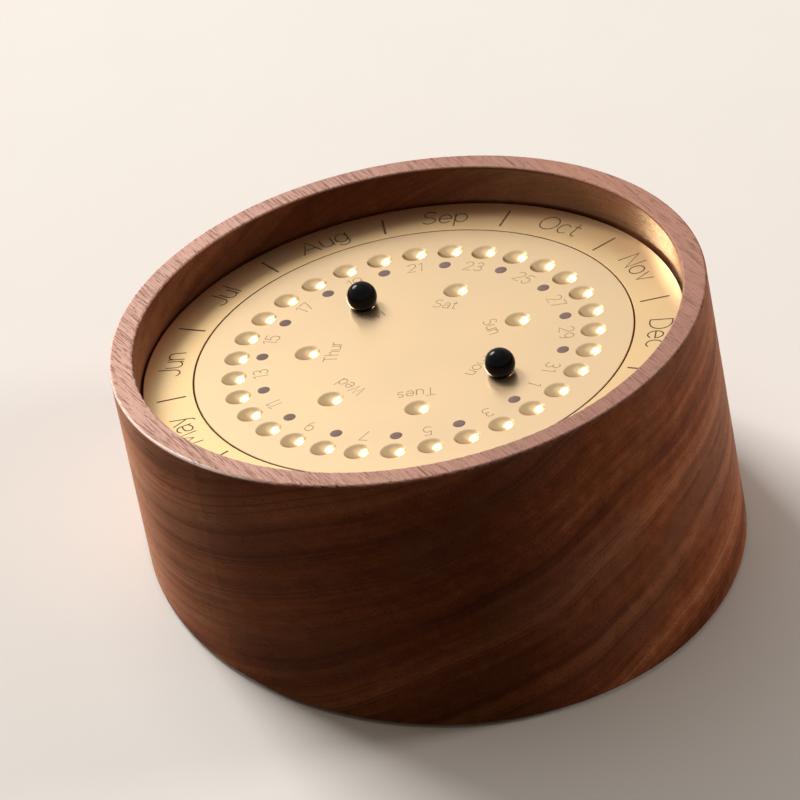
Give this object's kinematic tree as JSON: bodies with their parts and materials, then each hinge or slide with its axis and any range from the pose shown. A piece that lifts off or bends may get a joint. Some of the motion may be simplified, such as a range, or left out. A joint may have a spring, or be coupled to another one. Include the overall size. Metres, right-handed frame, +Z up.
{
  "type": "perpetual desk calendar",
  "caption": "Round leaning wooden drum with a sunken brass calendar dial: a turning month ring round a fixed disc of day and weekday dimples, marked by loose balls.",
  "frame": {"origin": "middle of the whole calendar's footprint on the desk", "axes": "+Z up, -Y towards the user at the low side of the slanted dial, +X to the user's right"},
  "size_m": [0.12, 0.1288, 0.0607],
  "materials": {
    "walnut": "satin oiled walnut",
    "brass_ring": "fine satin",
    "brass_disc": "fine satin",
    "black_ball": "polished",
    "aluminium": "milled",
    "glide": "matt",
    "steel": "zinc plated",
    "cover_steel": "satin black",
    "felt": "felt"
  },
  "bodies": {
    "drum": {"drum_body": "walnut", "carrier_plate": "aluminium", "glide_ring": "glide", "date_disc": "brass_disc", "locating_pins": "steel", "carrier_screws": "steel", "cover_screws": "steel", "clamp_stud": "steel", "floor_washer": "steel", "spring_washer": "steel", "clamp_nut": "steel", "base_cover": "cover_steel", "base_pad": "felt"},
    "ring": {"month_ring": "brass_ring"},
    "first_ball": {"first_marker_ball": "black_ball"},
    "second_ball": {"second_marker_ball": "black_ball"}
  },
  "joints": [
    {"name": "month_ring_turn", "type": "hinge", "parent": "drum", "child": "ring", "pos_m": [0, -0.00398, 0.04182], "axis": [0, -0.1788, 0.9839], "continuous": true},
    {"name": "first_ball_lift", "type": "slide", "parent": "drum", "child": "first_ball", "axis": [0, -0.1788, 0.9839], "range_m": [0, 0.03]},
    {"name": "second_ball_lift", "type": "slide", "parent": "drum", "child": "second_ball", "axis": [0, -0.1788, 0.9839], "range_m": [0, 0.03]}
  ]
}
